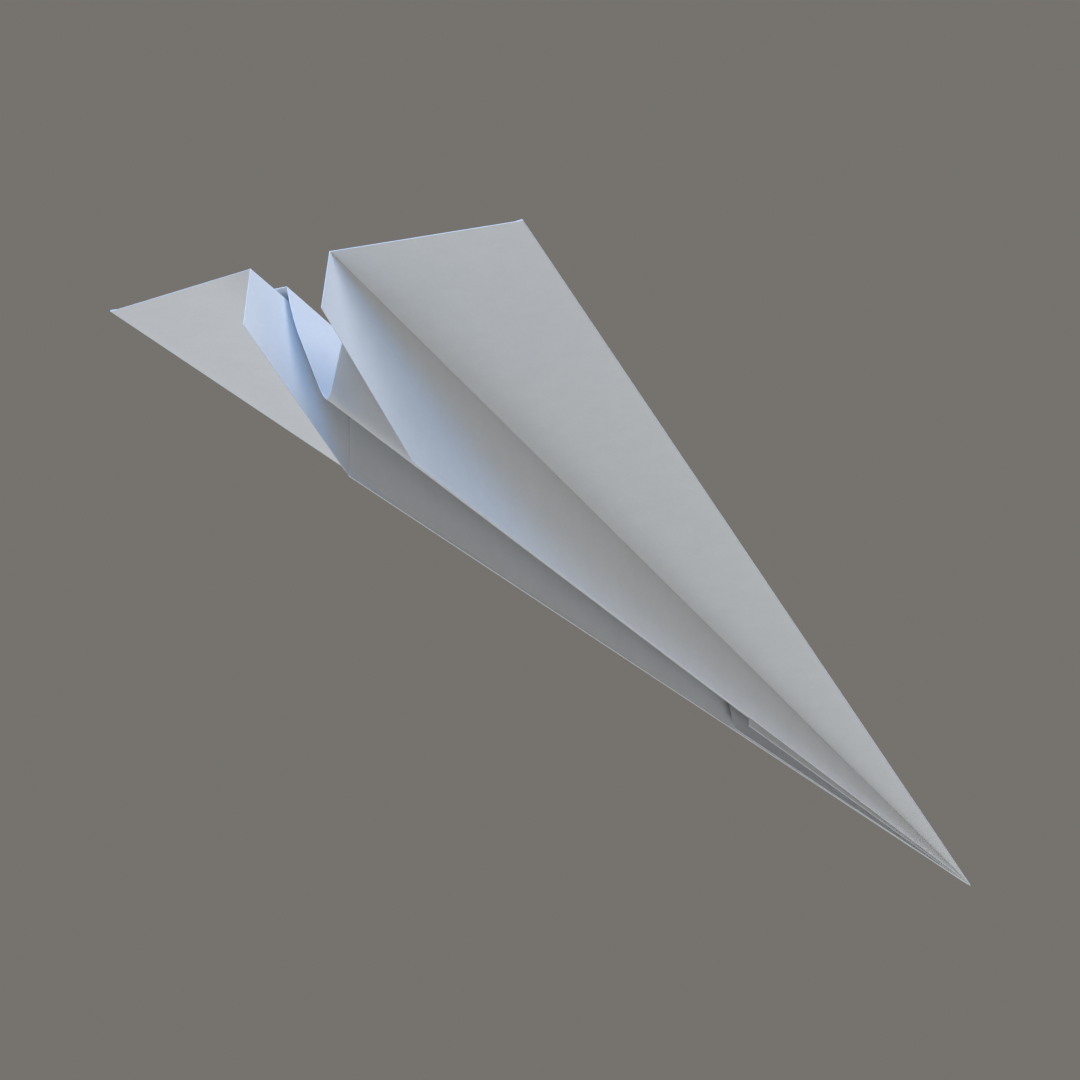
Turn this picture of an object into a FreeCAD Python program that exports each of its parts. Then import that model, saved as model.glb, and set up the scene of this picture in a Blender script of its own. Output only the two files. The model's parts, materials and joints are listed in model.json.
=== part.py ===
import FreeCAD, Part
import math
import os
import Sketcher

# A paper dart folded from one A4 sheet. Every crease starts at the nose, so each panel of the
# sheet between two creases is a flat sector with its point at the nose. One panel is one solid.
# Frame: +X from nose to tail, +Y to the dart's right, +Z up, standing on its two lower edges.
# Angles in the sheet are measured at the nose, in degrees, from the centre crease.

DIMENSIONS = [
    ("sheet_length", 297.0),         # A4, nose edge to tail edge
    ("half_width", 105.0),           # A4, centre crease to side edge
    ("paper_thickness", 0.1),        # 80 g/m2 office paper
    ("layer_gap", 0.0),              # air between two layers of a pressed stack
    ("second_crease", 22.5),         # crease along the lower edge of the hanging flap
    ("leading_crease", 10.74),       # crease along the leading edge
    ("root_crease", 4.39),           # crease between body side and wing
    ("corner_reach", 5.2),           # how far the sheet's nose corner reaches below the root crease
    ("side_tilt", 18.5),             # body side from upright
    ("wing_dihedral", 6.1),          # wing from level, tips up
    ("flap_lean", -1.25),             # hanging flap from upright, positive is outwards
    ("crease_gap", 0.5),             # a body side's distance from its creases
    ("wing_gap", 0.8),               # a wing's or flap's distance from the root crease
]

doc = FreeCAD.newDocument("paper_dart")
sheet = doc.addObject("Spreadsheet::Sheet", "Dims")
for row, (alias, value) in enumerate(DIMENSIONS, start=1):
    sheet.set("A%d" % row, alias)
    sheet.set("B%d" % row, str(value))
    sheet.setAlias("B%d" % row, alias)
doc.recompute()


def dim(alias):
    """A driving dimension's value, read from the sheet."""
    return float(getattr(sheet, alias))


def angle(alias):
    """A driving angle in radians."""
    return math.radians(dim(alias))


# Expressions shared by several outlines.
LENGTH = "Dims.sheet_length"
WIDTH = "Dims.half_width"
SECOND = "Dims.second_crease"
LEADING = "Dims.leading_crease"
ROOT = "Dims.root_crease"
CORNER = "Dims.corner_reach"
GAP = "Dims.crease_gap"
WING_GAP = "Dims.wing_gap"
WING = "(%s - %s)" % (LEADING, ROOT)             # angle that a wing spans
FOLDED_ROOT = "(2 * %s - %s)" % (LEADING, ROOT)  # where the root crease crosses the folded layer
FLAP = "(%s - %s)" % (SECOND, FOLDED_ROOT)       # angle that a hanging flap spans
LINING = "(%s / tan(%s))" % (WIDTH, SECOND)      # inner layer's cut edge, from the nose edge


def polar(radius, turn):
    """A corner at a radius from the nose and an angle from the panel's crease."""
    return "%s * cos(%s)" % (radius, turn), "%s * sin(%s)" % (radius, turn)


def corner_flap_x(gap, sign):
    """Where the small corner flap's cut edge meets a line beside the root crease."""
    return "(%s %s %s * sin(%s)) / cos(%s)" % (WIDTH, sign, gap, CORNER, CORNER)


BODY_SIDE = [
    ("%s / tan(%s / 2)" % (GAP, ROOT), GAP),
    (LENGTH, GAP),
    (LENGTH, "%s * tan(%s) - %s / cos(%s)" % (LENGTH, ROOT, GAP, ROOT)),
]
WING_POINT = ("%s / tan(%s)" % (WING_GAP, WING), WING_GAP)
WING_TIP = polar("%s / cos(%s)" % (LENGTH, LEADING), WING)
WING_UPPER = [
    WING_POINT,
    ("%s / cos(%s) + %s * tan(%s)" % (LENGTH, ROOT, WING_GAP, ROOT), WING_GAP),
    WING_TIP,
]
WING_LOWER = [
    WING_POINT,
    ("(%s - %s * sin(%s)) / cos(%s)" % (LENGTH, WING_GAP, FOLDED_ROOT, FOLDED_ROOT), WING_GAP),
    WING_TIP,
]
WING_LINING = [
    WING_POINT,
    ("(%s - %s * sin(%s)) / cos(%s)" % (LINING, WING_GAP, FOLDED_ROOT, FOLDED_ROOT), WING_GAP),
    polar("%s / cos(%s)" % (LINING, LEADING), WING),
]
WING_CORNER = [
    WING_POINT,
    (corner_flap_x(WING_GAP, "+"), WING_GAP),
    polar("%s / cos(%s + %s)" % (WIDTH, CORNER, WING), WING),
]
FLAP_POINT = ("%s / tan(%s)" % (WING_GAP, FLAP), WING_GAP)
FLAP_HEEL = polar("%s / sin(%s)" % (WIDTH, SECOND), FLAP)
TAIL_CORNER_RADIUS = "sqrt(%s * %s + %s * %s)" % (LENGTH, LENGTH, WIDTH, WIDTH)
TAIL_CORNER_TURN = "(atan(%s / %s) / 1 deg - %s)" % (WIDTH, LENGTH, FOLDED_ROOT)
FLAP_OUTER = [
    FLAP_POINT,
    ("(%s + %s * sin(%s)) / cos(%s)" % (LENGTH, WING_GAP, FOLDED_ROOT, FOLDED_ROOT), WING_GAP),
    polar(TAIL_CORNER_RADIUS, TAIL_CORNER_TURN),
    FLAP_HEEL,
]
FLAP_LINING = [
    FLAP_POINT,
    ("%s - (%s - %s) * tan(%s)" % (FLAP_HEEL[0], FLAP_HEEL[1], WING_GAP, FOLDED_ROOT), WING_GAP),
    FLAP_HEEL,
]
FLAP_CORNER = [
    ("%s / tan(%s)" % (WING_GAP, CORNER), WING_GAP),
    (corner_flap_x(WING_GAP, "-"), WING_GAP),
    polar(WIDTH, CORNER),
]


def unit_across(along, towards):
    """The unit vector square to along, on the side of towards."""
    across = towards - along * towards.dot(along)
    return across.normalize()


# Directions on the right side, before the dart is set on its lower edges.
KEEL = FreeCAD.Vector(1, 0, 0)
side_up = FreeCAD.Vector(0, math.sin(angle("side_tilt")), math.cos(angle("side_tilt")))
root = KEEL * math.cos(angle("root_crease")) + side_up * math.sin(angle("root_crease"))
dihedral = angle("wing_dihedral")
wing_out = unit_across(root, FreeCAD.Vector(0, math.cos(dihedral), math.sin(dihedral)))
lean = angle("flap_lean")
flap_down = unit_across(root, FreeCAD.Vector(0, math.sin(lean), -math.cos(lean)))

# The lower edge of the flap gives the pitch that lays both lower edges on one level.
flap_span = angle("second_crease") - 2 * angle("leading_crease") + angle("root_crease")
lower_edge = root * math.cos(flap_span) + flap_down * math.sin(flap_span)
pitch = math.atan2(lower_edge.z, lower_edge.x)
level = FreeCAD.Rotation(FreeCAD.Vector(0, 1, 0), math.degrees(pitch))


def draw_outline(sketch, corners):
    """A closed polygon whose corners are held by expressions."""
    lines = len(corners)
    circle = [FreeCAD.Vector(math.cos(n), math.sin(n), 0) for n in range(lines)]
    for n in range(lines):
        sketch.addGeometry(Part.LineSegment(circle[n], circle[(n + 1) % lines]), False)
    for n in range(lines):
        sketch.addConstraint(Sketcher.Constraint("Coincident", n, 2, (n + 1) % lines, 1))
    for n, (across, up) in enumerate(corners):
        for kind, expression in (("DistanceX", across), ("DistanceY", up)):
            index = sketch.addConstraint(Sketcher.Constraint(kind, -1, 1, n, 1, 10.0 + n))
            sketch.setExpression("Constraints[%d]" % index, expression)


def panel(label, corners, along, across, layer, side):
    """One flat panel of the sheet: an outline beside a crease, padded by the paper's thickness."""
    body = doc.addObject("PartDesign::Body", label)
    body.Label = label
    plane = [f for f in body.Origin.OriginFeatures if f.Role == "XY_Plane"][0]
    sketch = body.newObject("Sketcher::SketchObject", label + "_outline")
    sketch.AttachmentSupport = [(plane, "")]
    sketch.MapMode = "FlatFace"
    draw_outline(sketch, corners)
    pad = body.newObject("PartDesign::Pad", label + "_sheet")
    pad.Profile = sketch
    pad.setExpression("Length", "Dims.paper_thickness")
    pad.Reversed = side < 0
    x_axis = FreeCAD.Vector(along.x, side * along.y, along.z)
    y_axis = FreeCAD.Vector(across.x, side * across.y, across.z)
    normal = x_axis.cross(y_axis)
    turn = level.multiply(FreeCAD.Rotation(x_axis, y_axis, normal, "XYZ"))
    layer_pitch = dim("paper_thickness") + dim("layer_gap")
    lift = level.multVec(normal * (side * layer * layer_pitch))
    body.Placement = FreeCAD.Placement(lift, turn)
    return body


# Layers count along each panel's normal: inwards on a body side, so -1 puts its paper on the
# outer side of the crease plane, upwards on a wing and outwards on a flap.
PANELS = [
    ("body_side", BODY_SIDE, KEEL, side_up, -1),
    ("wing_upper", WING_UPPER, root, wing_out, 0),
    ("wing_corner_layer", WING_CORNER, root, wing_out, -1),
    ("wing_lining", WING_LINING, root, wing_out, -2),
    ("wing_lower", WING_LOWER, root, wing_out, -3),
    ("flap_corner_layer", FLAP_CORNER, root, flap_down, 0),
    ("flap_lining", FLAP_LINING, root, flap_down, 1),
    ("flap_outer", FLAP_OUTER, root, flap_down, 2),
]
subparts = []
for side_name, side in (("right", 1), ("left", -1)):
    for name, corners, along, across, layer in PANELS:
        subparts.append(panel("%s_%s" % (name, side_name), corners, along, across, layer, side))
doc.recompute()

# The origin is the middle of the outline seen from above, at the height of the lower edges.
box = FreeCAD.BoundBox()
for body in subparts:
    box.add(body.Shape.optimalBoundingBox())
shift = FreeCAD.Vector(-box.Center.x, -box.Center.y, -box.ZMin)
for body in subparts:
    body.Placement.Base = body.Placement.Base + shift
doc.recompute()

for item in doc.Objects:
    if "Invalid" in item.State or "Error" in item.State:
        raise RuntimeError("%s did not build: %s" % (item.Label, item.State))
os.makedirs("parts", exist_ok=True)
for body in subparts:
    if body.Shape.isNull() or not body.Shape.isValid():
        raise RuntimeError("%s has no valid shape" % body.Label)
    body.Shape.exportStep("parts/%s.step" % body.Label)


def report(name, point):
    """Prints a point or direction of the right side in the finished frame."""
    print(name, [round(v, 4) for v in point])


report("nose", shift)
report("root crease direction", level.multVec(root))
report("keel direction", level.multVec(KEEL))
print("box", [round(v, 3) for v in (box.XLength, box.YLength, box.ZLength)])
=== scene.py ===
# %% [markdown]
# # A paper dart
#
# The object is one sheet of office paper, folded to a narrow dart and seen from below and behind.
# Its measured frame, made in CAD, holds flat panels that hinge on the creases. Here the panels
# that can be seen become real paper: thin curved sheets that turn round their folds, with a fibre
# grain. The layers hidden inside each wing stay as they are in the frame.
#
# Everything is in metres. +X runs from the nose to the tail and +Z is up. Each piece is worked
# out in place, so its object stays at the origin and needs no fitting.

import json
import bpy
import numpy as np
from mathutils import Matrix, Vector


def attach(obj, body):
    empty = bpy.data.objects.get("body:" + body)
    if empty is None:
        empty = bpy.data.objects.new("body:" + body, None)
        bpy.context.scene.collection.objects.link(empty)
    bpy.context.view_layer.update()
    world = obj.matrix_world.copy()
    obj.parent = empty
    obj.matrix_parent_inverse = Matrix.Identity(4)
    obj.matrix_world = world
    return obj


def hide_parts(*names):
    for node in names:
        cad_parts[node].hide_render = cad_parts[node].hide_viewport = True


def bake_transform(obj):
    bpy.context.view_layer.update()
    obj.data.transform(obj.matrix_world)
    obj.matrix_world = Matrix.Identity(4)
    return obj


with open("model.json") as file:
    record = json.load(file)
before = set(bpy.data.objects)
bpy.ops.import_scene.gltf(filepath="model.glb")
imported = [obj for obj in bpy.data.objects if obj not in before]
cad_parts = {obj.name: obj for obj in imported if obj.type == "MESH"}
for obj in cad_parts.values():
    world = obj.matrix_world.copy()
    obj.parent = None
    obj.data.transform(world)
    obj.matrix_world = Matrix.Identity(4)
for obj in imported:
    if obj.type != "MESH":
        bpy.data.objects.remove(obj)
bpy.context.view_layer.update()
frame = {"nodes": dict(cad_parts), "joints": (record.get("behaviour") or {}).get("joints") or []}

# %% [markdown]
# ## The creases
#
# All the creases start at the nose. A point of the flat sheet is told by two numbers: its angle
# at the nose, measured from the centre crease, and its distance from the nose. Folding keeps the
# distance and changes only the direction. We could model each flat panel as a polygon, but a
# function of the two numbers gives every layer and its folds in one way.
#
# The nose and the keel's direction come from the frame's keel joint; the other creases are given as
# angles.

# %% The creases of the flat sheet
MM = 0.001
SHEET_LENGTH = 297 * MM
HALF_WIDTH = 105 * MM
PAPER = 0.1 * MM
ROOT_CREASE = np.radians(4.39)
LEADING_CREASE = np.radians(10.74)
SECOND_CREASE = np.radians(22.5)
FOLDED_ROOT = 2 * LEADING_CREASE - ROOT_CREASE
TAIL_CORNER = np.arctan(HALF_WIDTH / SHEET_LENGTH)
CORNER_REACH = np.radians(5.77)
CORNER_LENGTH = 111 * MM
SIDE_TILT = np.radians(18.5)
WING_DIHEDRAL = np.radians(6.1)
FLAP_LEAN = np.radians(-1.25)
CORNER_LEAN = np.radians(-6.6)

joints = {joint["name"]: joint for joint in frame["joints"]}
NOSE = np.array(joints["keel_crease"]["pos_m"])
KEEL = np.array(joints["keel_crease"]["axis"])
ACROSS = np.array([0.0, 1.0, 0.0])
UP = np.array([-KEEL[2], 0.0, KEEL[0]])
SIDES = {"right": 1, "left": -1}
print("nose", NOSE, "keel", KEEL)

# %% [markdown]
# ## Directions on the two sides
#
# The dart is the same on both sides. A side is +1 on the right and -1 on the left, and only the
# sideways part of each direction changes sign. Two unit vectors lie in each panel: one along the
# root crease, and one square to it.

# %% The root crease and the panels' directions
def root_line(side):
    """The unit vector of the root crease: the keel plus the body side's rise and spread."""
    rise = np.cos(SIDE_TILT) * UP + side * np.sin(SIDE_TILT) * ACROSS
    return np.cos(ROOT_CREASE) * KEEL + np.sin(ROOT_CREASE) * rise


def square_to_root(side, sideways, upwards):
    """The unit vector square to the root crease that is nearest to the one asked for."""
    root = root_line(side)
    wanted = side * sideways * ACROSS + upwards * UP
    across = wanted - root * (wanted @ root)
    return across / np.linalg.norm(across)


def wing_plane(side):
    """The wing's three directions: along the root crease, out to the tip, and up."""
    out = square_to_root(side, np.cos(WING_DIHEDRAL), np.sin(WING_DIHEDRAL))
    return root_line(side), out, side * np.cross(root_line(side), out)


def flap_plane(side, lean):
    """The flap's three directions: along the root crease, down, and away from the body."""
    down = square_to_root(side, np.sin(lean), -np.cos(lean))
    return root_line(side), down, side * np.cross(root_line(side), down)


print("root crease, right side", np.round(root_line(1), 4))

# %% [markdown]
# ## From a grid of points to a sheet of paper
#
# Each sheet is first a surface with no thickness, on a grid of rows (nose to tail) and columns
# (across the panel). The Solidify modifier then gives it the paper's tenth of a millimetre, half
# to each side. That keeps both faces exactly parallel, which is hard to model by hand. A second
# array tells how near each point is to a crease or cut edge, for the paper's paler creases and
# the painted highlight along folds and edges.

# %% Rows, and the mesh of a sheet
NEAR_NOSE = np.linspace(0.003, 0.03, 6)
ALONG_SHEET = np.linspace(0.045, 0.985, 60)
NEAR_TAIL = np.linspace(0.988, 1.0, 7)
ROWS = np.concatenate([NEAR_NOSE, ALONG_SHEET, NEAR_TAIL])
FOLD_STEPS = 9
FLAT_STEPS = 12
SHARP_EDGE = np.radians(60)


def paper_sheet(name, points, pale_crease_and_highlight, side):
    """A quad mesh through a grid of points, made as thick as paper, wound alike on both sides."""
    rows, columns = points.shape[:2]
    corner = np.arange(rows * columns).reshape(rows, columns)
    loops = [corner[:-1, :-1], corner[:-1, 1:], corner[1:, 1:], corner[1:, :-1]]
    if side < 0:
        loops = loops[::-1]
    faces = np.stack(loops, axis=-1).reshape(-1, 4)
    mesh = bpy.data.meshes.new(name)
    mesh.from_pydata(points.reshape(-1, 3), [], faces)
    # The crease value paints both the paper's paler crushed fibres and a highlight along folds and edges.
    mesh.attributes.new("crease", "FLOAT", "POINT").data.foreach_set("value", pale_crease_and_highlight.ravel())
    mesh.shade_smooth()
    sheet = bpy.data.objects.new(name, mesh)
    bpy.context.scene.collection.objects.link(sheet)
    wall = sheet.modifiers.new("paper_thickness", "SOLIDIFY")
    wall.thickness = PAPER
    wall.offset = 0
    wall.use_even_offset = False
    sharp = sheet.modifiers.new("cut_edges", "EDGE_SPLIT")
    sharp.split_angle = SHARP_EDGE
    print(name, len(faces), "faces")
    return sheet


print(len(ROWS), "rows from nose to tail")

# %% [markdown]
# ## A sheet folded back on itself
#
# The wing and the hanging flap are each a sheet that turns back along a crease. A sharp fold
# would look like cut card, so the section across it is two flats joined by a half turn. The
# turn's radius is half the distance between the two layers' middles: the wing holds two hidden
# layers, so its fold is rounder than the flap's.
#
# Near the nose all the layers run together, so the radius and the offsets shrink with the
# distance from it.

# %% The folded section
TAPER = 2 * MM
# Widths of the pale bands at folds and at the sheet's edges: partly crushed fibres, partly a painted
# highlight.
FOLD_WEAR_AND_HIGHLIGHT = 0.45 * MM
EDGE_WEAR_AND_HIGHLIGHT = 0.6 * MM


def columns_between(start, stop, steps):
    """Columns from one array of angles, one per row, to another, evenly spaced."""
    share = np.linspace(0, 1, steps)
    return start[:, None] * (1 - share) + stop[:, None] * share


def folded_sheet(plane, angles, reach, middle, spread, near_gap, far_gap):
    """Points of a sheet folded at a crease. The arc distance from the crease is the radius times
    the angle past it. Within a half turn, the point lies on a circle of half the layers' spread;
    beyond it, on one of two flats. The result is nose + distance * direction + offset * normal.
    """
    start, stops, crease, end = angles
    along, across, normal = plane
    fold_reach = ROWS * reach(np.array([crease]))
    radius = spread / 2 * (1 - np.exp(-fold_reach / TAPER))
    turn = radius * np.pi / 2 / fold_reach
    shrink = radius / (spread / 2)
    edges = [np.full_like(ROWS, start) + near_gap * shrink / fold_reach]
    edges += [np.full_like(ROWS, stop) for stop in stops]
    edges += [crease - turn, crease + turn]
    edges += [np.full_like(ROWS, end) - far_gap * shrink / fold_reach]
    parts = []
    for n in range(len(edges) - 1):
        steps = FOLD_STEPS if n == len(edges) - 3 else FLAT_STEPS
        parts.append(columns_between(edges[n], edges[n + 1], steps)[:, (n > 0):])
    flat_angle = np.concatenate(parts, axis=1)
    distance = ROWS[:, None] * reach(flat_angle)
    past = (flat_angle - crease) * fold_reach[:, None]
    circle = radius[:, None]
    swing = np.clip(past / circle, -np.pi / 2, np.pi / 2)
    back = circle * (1 - np.cos(swing)) + np.maximum(np.abs(past) - circle * np.pi / 2, 0)
    folded = (crease - start) - back / fold_reach[:, None]
    offset = middle * shrink[:, None] - circle * np.sin(swing)
    # Painted paler near the fold and the sheet's two edges: partly crushed fibres, partly a painted
    # highlight.
    pale_crease_and_highlight = np.exp(-(past / FOLD_WEAR_AND_HIGHLIGHT) ** 2)
    pale_crease_and_highlight += np.exp(-((flat_angle - start) * fold_reach[:, None] / EDGE_WEAR_AND_HIGHLIGHT) ** 2)
    pale_crease_and_highlight += np.exp(-((end - flat_angle) * fold_reach[:, None] / EDGE_WEAR_AND_HIGHLIGHT) ** 2)
    return along, across, normal, distance, folded, offset, flat_angle, np.minimum(pale_crease_and_highlight, 1)


def place(along, across, normal, distance, angle, offset):
    """Nose + distance * (cos angle * along + sin angle * across) + offset * normal."""
    in_plane = np.cos(angle)[..., None] * along + np.sin(angle)[..., None] * across
    return NOSE + distance[..., None] * in_plane + offset[..., None] * normal


# %% [markdown]
# ## The wings
#
# A wing's upper layer runs from the root crease to the leading edge, turns there, and comes back
# underneath as the lower layer. Both end at the tail on the sheet's own straight edge, so the
# distance from the nose is the sheet's length over the cosine of the angle. Four pressed layers
# are stiff, so a wing stays flat, and the two layers hidden between its halves stay as they are
# in the frame. Beside the body the upper layer isn't pressed on the others: it rises a little
# and leans in towards the body, as a bell curve of the distance from the root crease.

# %% Make the wings
WING_GAP = 0.2 * MM
RIDGE_RISE = 1.4 * MM
RIDGE_LEAN = 0.6 * MM
RIDGE_WIDTH = 6 * MM


def tail_reach(angle):
    """Distance from the nose to the tail edge: the sheet's length over the angle's cosine."""
    return SHEET_LENGTH / np.cos(angle)


def wing_points(side):
    """The wing's folded sheet: its layers' middles are three thicknesses of paper apart."""
    angles = (ROOT_CREASE, [], LEADING_CREASE, FOLDED_ROOT)
    grid = folded_sheet(wing_plane(side), angles, tail_reach, -PAPER, 3 * PAPER, 0, WING_GAP)
    along, across, normal, distance, angle, offset, flat_angle, pale_crease_and_highlight = grid
    from_root = angle * distance
    upper = flat_angle < LEADING_CREASE
    lift = np.where(upper, np.exp(-(from_root / RIDGE_WIDTH) ** 2), 0) * (distance / SHEET_LENGTH)
    points = place(along, across, normal, distance, angle, offset + RIDGE_RISE * lift)
    return points - RIDGE_LEAN * (lift * side)[..., None] * ACROSS, pale_crease_and_highlight


sheets = []
for name, side in SIDES.items():
    points, pale_crease_and_highlight = wing_points(side)
    wing = paper_sheet("wing_sheet_" + name, points, pale_crease_and_highlight, side)
    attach(wing, "wing_" + name)
    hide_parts("wing_upper_" + name, "wing_lower_" + name)
    sheets.append(wing)

# %% [markdown]
# ## The hanging flaps
#
# Under each wing the folded layer turns down beside the body and hangs as a flap. Its lower edge
# is the sheet's second crease, where a lining turns back inside. The outer layer ends first on
# the tail edge and then on the sheet's long side edge, which is why it has a corner. The lining
# ends on a cut edge of its own, which shows as a thin line beside the keel: that line is a painted
# highlight, a pale band on the paper's colour along the cut edge. How far that edge tilts
# from the second crease's own square is a choice, and it isn't what the frame's panel has.

# %% Make the flaps
FLAP_GAP = 0.2 * MM
LINING_TILT = np.radians(10.5)
# Width of the painted highlight along the lining's cut edge.
CUT_EDGE_HIGHLIGHT = 0.4 * MM


def flap_reach(angle):
    """Distance to the sheet's edge: the tail edge, then the long side, then the lining's edge."""
    tail = SHEET_LENGTH / np.cos(angle)
    long_side = HALF_WIDTH / np.sin(angle)
    heel = HALF_WIDTH / np.sin(SECOND_CREASE)
    lining = heel * np.cos(LINING_TILT) / np.cos(LINING_TILT - (angle - SECOND_CREASE))
    return np.where(angle > SECOND_CREASE, lining, np.minimum(tail, long_side))


def flap_points(side):
    """The flap's folded sheet: its two layers lie against each other."""
    angles = (FOLDED_ROOT, [TAIL_CORNER], SECOND_CREASE, 2 * SECOND_CREASE - FOLDED_ROOT)
    plane = flap_plane(side, FLAP_LEAN)
    grid = folded_sheet(plane, angles, flap_reach, 2 * PAPER, -PAPER, FLAP_GAP, FLAP_GAP)
    along, across, normal, distance, angle, offset, flat_angle, pale_crease_and_highlight = grid
    # Painted highlight: the lining's cut edge is painted pale, standing in for the light it catches.
    cut_edge = np.exp(-((flap_reach(flat_angle) - distance) / CUT_EDGE_HIGHLIGHT) ** 2)
    pale_crease_and_highlight = np.where(flat_angle > SECOND_CREASE, np.maximum(pale_crease_and_highlight, 2 * cut_edge), pale_crease_and_highlight)
    return place(along, across, normal, distance, angle, offset), pale_crease_and_highlight


for name, side in SIDES.items():
    points, pale_crease_and_highlight = flap_points(side)
    flap = paper_sheet("flap_sheet_" + name, points, pale_crease_and_highlight, side)
    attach(flap, "flap_" + name)
    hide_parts("flap_outer_" + name, "flap_lining_" + name)
    sheets.append(flap)

# %% [markdown]
# ## The sheet's own corners
#
# The two corners of the sheet's nose end are folded in first. What shows of each is a small
# pointed layer inside a flap. Nothing presses it flat, so it stands a few degrees away from the
# flap. It is set a little further back and lower than the frame's panel, so that its corner shows.

# %% Make the corner layers
CORNER_COLUMNS = 24
CORNER_BOW = 0.2 * MM


def corner_points(side):
    """A sector whose cut edge is square to its far side: its length over the cosine."""
    along, across, normal = flap_plane(side, CORNER_LEAN)
    grid = (len(ROWS), CORNER_COLUMNS)
    angle = np.broadcast_to(np.linspace(0, CORNER_REACH, CORNER_COLUMNS), grid)
    distance = ROWS[:, None] * CORNER_LENGTH / np.cos(CORNER_REACH - angle)
    share = angle / CORNER_REACH
    bow = CORNER_BOW * np.sin(np.pi * share) * distance / CORNER_LENGTH
    # Painted paler along the fold side: partly crushed fibres, partly a painted highlight.
    pale_crease_and_highlight = np.exp(-(angle * distance / EDGE_WEAR_AND_HIGHLIGHT) ** 2)
    return place(along, across, normal, distance, angle, bow), pale_crease_and_highlight


for name, side in SIDES.items():
    points, pale_crease_and_highlight = corner_points(side)
    corner = paper_sheet("flap_corner_sheet_" + name, points, pale_crease_and_highlight, side)
    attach(corner, "flap_" + name)
    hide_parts("flap_corner_layer_" + name)
    sheets.append(corner)

# %% [markdown]
# ## The body sides
#
# Two single layers rise from the keel to the root creases. Paper never folds to a knife edge when
# it is only pressed by hand, so the keel is rounded: each side first bulges outwards quickly, as
# one minus an exponential, and then runs straight to the root crease. Its top follows the wing's
# raised edge.

# %% Make the body sides
KEEL_ROUNDING = 0.07
ROUNDING_LENGTH = 0.03
RIDGE_START = 0.6
BEND_HEIGHT = 1.2 * MM
BEND_REACH = 0.2
# Width of the pale band along the keel: partly crushed fibres, partly a painted highlight.
KEEL_WEAR_AND_HIGHLIGHT = 0.8 * MM
SIDE_COLUMNS = 60
CROWDING = 1.7


def side_points(side):
    """Nose + length * (keel + tan(root angle) * (height * up + spread * sideways)), where the
    spread is the height plus a rounding that rises fast and fades to nothing at the root crease.
    """
    height = np.linspace(0, 1, SIDE_COLUMNS) ** CROWDING
    bulge = KEEL_ROUNDING * (1 - np.exp(-height / ROUNDING_LENGTH)) * (1 - height)
    rise = height[:, None] * np.cos(SIDE_TILT) * UP
    spread = (height + bulge)[:, None] * side * np.sin(SIDE_TILT) * ACROSS
    section = KEEL + np.tan(ROOT_CREASE) * (rise + spread)
    points = NOSE + SHEET_LENGTH * ROWS[:, None, None] * section
    near_top = np.clip((height - RIDGE_START) / (1 - RIDGE_START), 0, 1) ** 2
    lift = ROWS[:, None] * near_top
    normal = wing_plane(side)[2]
    points += RIDGE_RISE * lift[..., None] * normal - RIDGE_LEAN * side * lift[..., None] * ACROSS
    across = SHEET_LENGTH * ROWS[:, None] * height * np.tan(ROOT_CREASE)
    from_top = SHEET_LENGTH * ROWS[:, None] * np.tan(ROOT_CREASE) - across
    # Painted paler at the rounded keel and the top edge: partly crushed fibres, partly a painted
    # highlight.
    pale_crease_and_highlight = np.exp(-(across / KEEL_WEAR_AND_HIGHLIGHT) ** 2) + np.exp(-(from_top / EDGE_WEAR_AND_HIGHLIGHT) ** 2)
    return points, np.minimum(pale_crease_and_highlight, 1)


for name, side in SIDES.items():
    points, pale_crease_and_highlight = side_points(side)
    body_side = paper_sheet("body_side_sheet_" + name, points, pale_crease_and_highlight, side)
    top = NOSE + BEND_REACH * root_line(side)
    below_top = top - BEND_HEIGHT * square_to_root(side, np.sin(SIDE_TILT), np.cos(SIDE_TILT))
    "side_" + name
    "wing_" + name
    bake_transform(body_side)
    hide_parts("body_side_" + name)
    sheets.append(body_side)

# %% [markdown]
# ## Shader maths in plain Python
#
# A material's maths is easier to read as an expression than as a web of nodes. This small class
# wraps an output socket, so that an expression on it adds the Math nodes that it stands for.

# %% A wrapped socket
class Wire:
    """An output socket of a node tree. Arithmetic on it adds Math nodes."""

    def __init__(self, tree, socket):
        self.tree = tree
        self.socket = socket

    def node(self, kind, settings=None, inputs=None, output=0):
        """Adds a node, sets its settings, then its sockets' values or links, and wraps an output."""
        made = self.tree.nodes.new(kind)
        for key, value in (settings or {}).items():
            setattr(made, key, value)
        for key, value in (inputs or {}).items():
            if isinstance(value, Wire):
                self.tree.links.new(value.socket, made.inputs[key])
            else:
                made.inputs[key].default_value = value
        return Wire(self.tree, made.outputs[output])

    def maths(self, operation, first, second):
        """One Math node."""
        return self.node("ShaderNodeMath", {"operation": operation}, {0: first, 1: second})

    def __add__(self, other):
        return self.maths("ADD", self, other)

    __radd__ = __add__

    def __sub__(self, other):
        return self.maths("SUBTRACT", self, other)

    def __rsub__(self, other):
        return self.maths("SUBTRACT", other, self)

    def __mul__(self, other):
        return self.maths("MULTIPLY", self, other)

    __rmul__ = __mul__


# %% [markdown]
# ## The paper
#
# Uncoated office paper is matt and near white. From close by it shows three things: short fibres
# a few tenths of a millimetre across, a cloudiness a few millimetres wide where the pulp lies
# thicker, and creases whose broken fibres are paler and rougher. Noise at each of these sizes
# gives the first two, and the sheets' own crease value gives the third. That pale colour is also
# a painted highlight along the folds and edges, and along the lining's cut edge it is only a
# painted highlight. The fibres lie mostly along the sheet, so their noise is stretched that way.

# %% The paper finish
PAPER_DARK = (0.800, 0.806, 0.816, 1)
PAPER_PALE = (0.920, 0.925, 0.930, 1)
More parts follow.
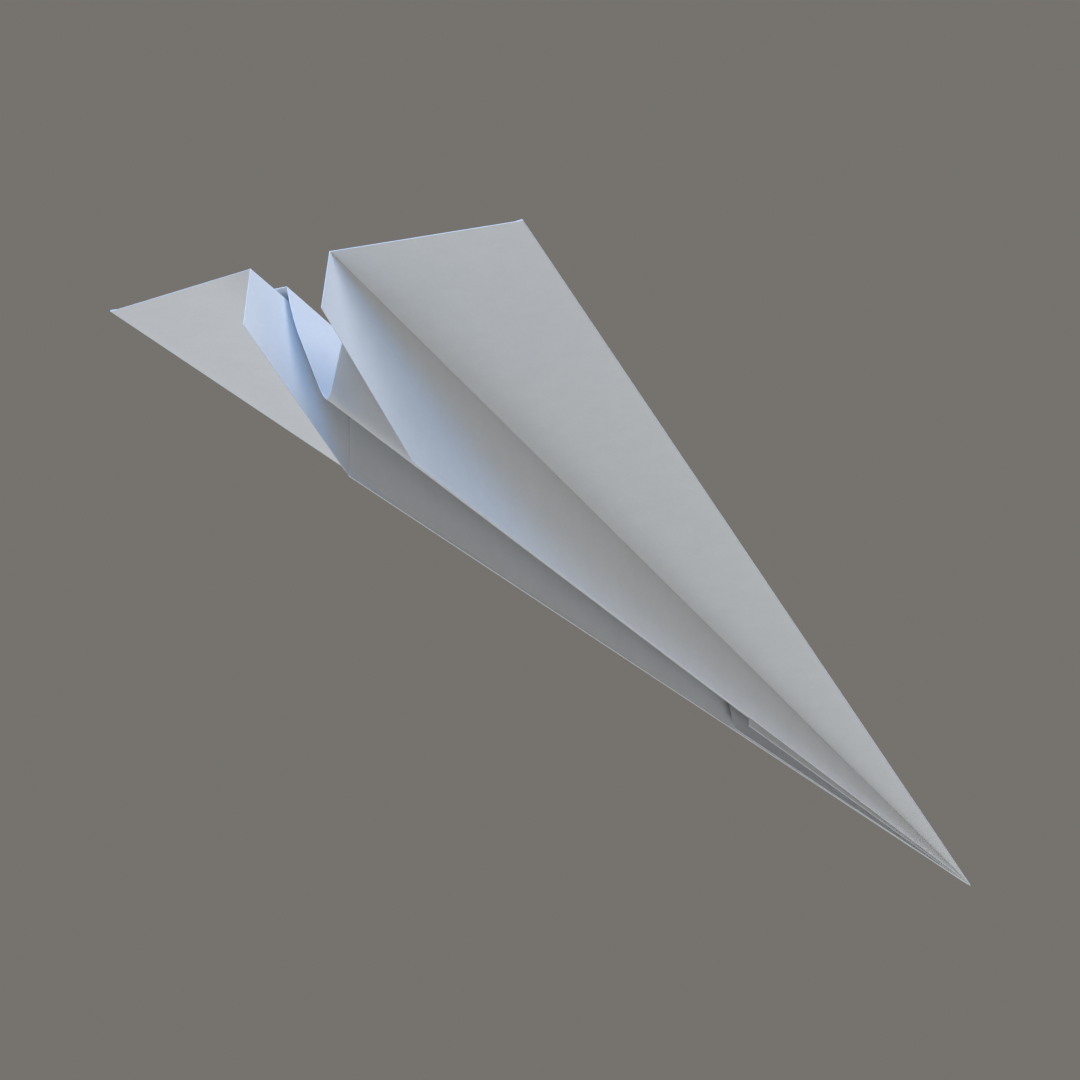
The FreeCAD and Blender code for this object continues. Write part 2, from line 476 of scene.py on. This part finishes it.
# Colour of creases and edges: partly paler crushed fibres, partly a painted highlight.
CREASE_PALE_AND_HIGHLIGHT = (0.93, 0.935, 0.94, 1)
FIBRE_SCALE = 1900.0
CLOUD_SCALE = 190.0
WAVE_SCALE = 28.0
BUMP_DEPTH = 0.00005

paper = bpy.data.materials.new("white_office_paper")
paper.use_nodes = True
shader = paper.node_tree.nodes["Principled BSDF"]
start = Wire(paper.node_tree, shader.outputs[0])
place_on = start.node("ShaderNodeTexCoord", output="Object")
along_sheet = start.node("ShaderNodeMapping", inputs={"Vector": place_on, "Scale": (0.4, 1, 1)})
fibres = start.node("ShaderNodeTexNoise",
                    inputs={"Vector": along_sheet, "Scale": FIBRE_SCALE, "Detail": 3.0, "Roughness": 0.6})
clouds = start.node("ShaderNodeTexNoise",
                    inputs={"Vector": place_on, "Scale": CLOUD_SCALE, "Detail": 2.0, "Roughness": 0.5})
waves = start.node("ShaderNodeTexNoise",
                   inputs={"Vector": place_on, "Scale": WAVE_SCALE, "Detail": 1.0, "Roughness": 0.4})
crease = start.node("ShaderNodeAttribute", {"attribute_name": "crease"}, output="Fac")
grain = fibres * 0.55 + clouds * 0.45
tone = start.node("ShaderNodeMix", {"data_type": "RGBA"},
                  {"Factor": grain, 6: PAPER_DARK, 7: PAPER_PALE}, output=2)
# The crease value mixes in the pale colour: partly crushed fibres, partly a painted highlight, and only a
# painted highlight on the lining's cut edge.
tone_with_pale_creases_and_highlight = start.node("ShaderNodeMix", {"data_type": "RGBA"},
                  {"Factor": crease * 0.35, 6: tone, 7: CREASE_PALE_AND_HIGHLIGHT}, output=2)
roughness = 0.74 + fibres * 0.12 + crease * 0.06
height = fibres * 0.5 + clouds * 0.8 + waves * 6.0
bump = start.node("ShaderNodeBump",
                  inputs={"Strength": 0.5, "Distance": BUMP_DEPTH, "Height": height})
for socket, wire in (("Base Color", tone_with_pale_creases_and_highlight), ("Roughness", roughness), ("Normal", bump)):
    paper.node_tree.links.new(wire.socket, shader.inputs[socket])
shader.inputs["Specular IOR Level"].default_value = 0.3
print("paper finish with", len(paper.node_tree.nodes), "nodes")

# %% [markdown]
# ## Dress the sheets and the hidden layers
#
# The new sheets and the frame's own panels, which stay between a wing's two layers, are all the
# same paper.

# %% Give every piece the paper
HIDDEN_LAYERS = ["wing_lining_", "wing_corner_layer_"]

for sheet in sheets:
    sheet.data.materials.append(paper)
for layer in HIDDEN_LAYERS:
    for name in SIDES:
        node = frame["nodes"][layer + name]
        for place_in_mesh in node.material_slots:
            place_in_mesh.material = paper
print(len(sheets), "sheets and", 2 * len(HIDDEN_LAYERS), "hidden layers are paper")

# %% [markdown]
# ## Light
#
# A plain grey room gives the shade that closed-in paper has. Wide lights from below, in front
# and on the left, show the undersides. A high one behind shines into the body, one on the right
# opens its shadows, and a small blue one low behind skims the flaps. Sun lamps with a wide angle
# are used, because they are even over the whole dart and as soft as a large softbox.

# %% World and lights
ROOM_GREY = (0.180, 0.171, 0.158, 1)

world = bpy.data.worlds.new("grey_room")
bpy.context.scene.world = world
world.use_nodes = True
world.node_tree.nodes["Background"].inputs["Color"].default_value = ROOM_GREY
world.node_tree.nodes["Background"].inputs["Strength"].default_value = 1.0
bpy.context.scene.view_settings.view_transform = "Standard"
bpy.context.scene.view_settings.look = "None"


def soft_light(name, towards, colour, strength, width):
    """A sun lamp as wide as a softbox, shining from the direction given."""
    lamp = bpy.data.lights.new(name, "SUN")
    lamp.color = colour
    lamp.energy = strength
    lamp.angle = np.radians(width)
    holder = bpy.data.objects.new(name, lamp)
    holder.rotation_mode = "QUATERNION"
    holder.rotation_quaternion = Vector(towards).to_track_quat("Z", "Y")
    bpy.context.scene.collection.objects.link(holder)
    print(name, "from", towards)


soft_light("front_light", (-0.5, 0.0, -0.85), (0.87, 0.94, 1.0), 1.14, 50)
soft_light("left_light", (0.1, -0.78, -0.62), (0.76, 0.84, 1.0), 0.55, 50)
soft_light("right_light", (0.3, 0.85, 0.4), (0.79, 0.89, 1.0), 0.53, 40)
soft_light("high_light", (0.6, 0.4, 0.7), (0.82, 0.87, 1.0), 2.4, 50)
soft_light("blue_light", (1.0, 0.28, 0.32), (0.03, 0.38, 1.0), 1.9, 11)

# %% [markdown]
# ## Floor
#
# The dart is seen from below, so the pale studio floor lies far beneath it, out of the way of the
# camera. It casts no shadow and bounces no light, so that the lamps below it still reach the dart.

# %% The floor
FLOOR_DEPTH = 7.0
FLOOR_SIZE = 60.0
FLOOR_COLOUR = (0.42, 0.385, 0.33, 1)

half = FLOOR_SIZE / 2
floor_mesh = bpy.data.meshes.new("floor")
floor_corners = [(-half, -half, -FLOOR_DEPTH), (half, -half, -FLOOR_DEPTH),
                 (half, half, -FLOOR_DEPTH), (-half, half, -FLOOR_DEPTH)]
floor_mesh.from_pydata(floor_corners, [], [(0, 1, 2, 3)])
floor = bpy.data.objects.new("floor", floor_mesh)
bpy.context.scene.collection.objects.link(floor)
floor_finish = bpy.data.materials.new("pale_floor")
floor_finish.use_nodes = True
floor_shader = floor_finish.node_tree.nodes["Principled BSDF"]
floor_shader.inputs["Base Color"].default_value = FLOOR_COLOUR
floor_shader.inputs["Roughness"].default_value = 0.9
floor_mesh.materials.append(floor_finish)
floor.visible_diffuse = False
floor.visible_glossy = False
floor.visible_shadow = False
print("floor", FLOOR_DEPTH, "m down")

# %% [markdown]
# ## Camera
#
# The camera looks up at the dart from below, behind and to its right, through a very long lens,
# so that near and far parts keep almost the same scale. It is rolled a little, so it is placed by
# its own forward and up directions rather than aimed.

# %% The camera
CAMERA_AT = (3.2122, 1.3140, -1.2368)
FORWARD = Vector((-0.8684, -0.3599, 0.3411)).normalized()
CAMERA_UP = Vector((0.2871, 0.1959, 0.9377))
SENSOR_WIDTH = 36
LENS = 666.7

camera_data = bpy.data.cameras.new("camera")
camera_data.sensor_width = SENSOR_WIDTH
camera_data.lens = LENS
camera_data.clip_start = 0.1
camera_data.clip_end = 100
camera = bpy.data.objects.new("camera", camera_data)
right = FORWARD.cross(CAMERA_UP).normalized()
upright = right.cross(FORWARD)
turn = Matrix((right, upright, -FORWARD)).transposed().to_4x4()
camera.matrix_world = Matrix.Translation(CAMERA_AT) @ turn
bpy.context.scene.collection.objects.link(camera)
bpy.context.scene.camera = camera
print("camera at", CAMERA_AT)
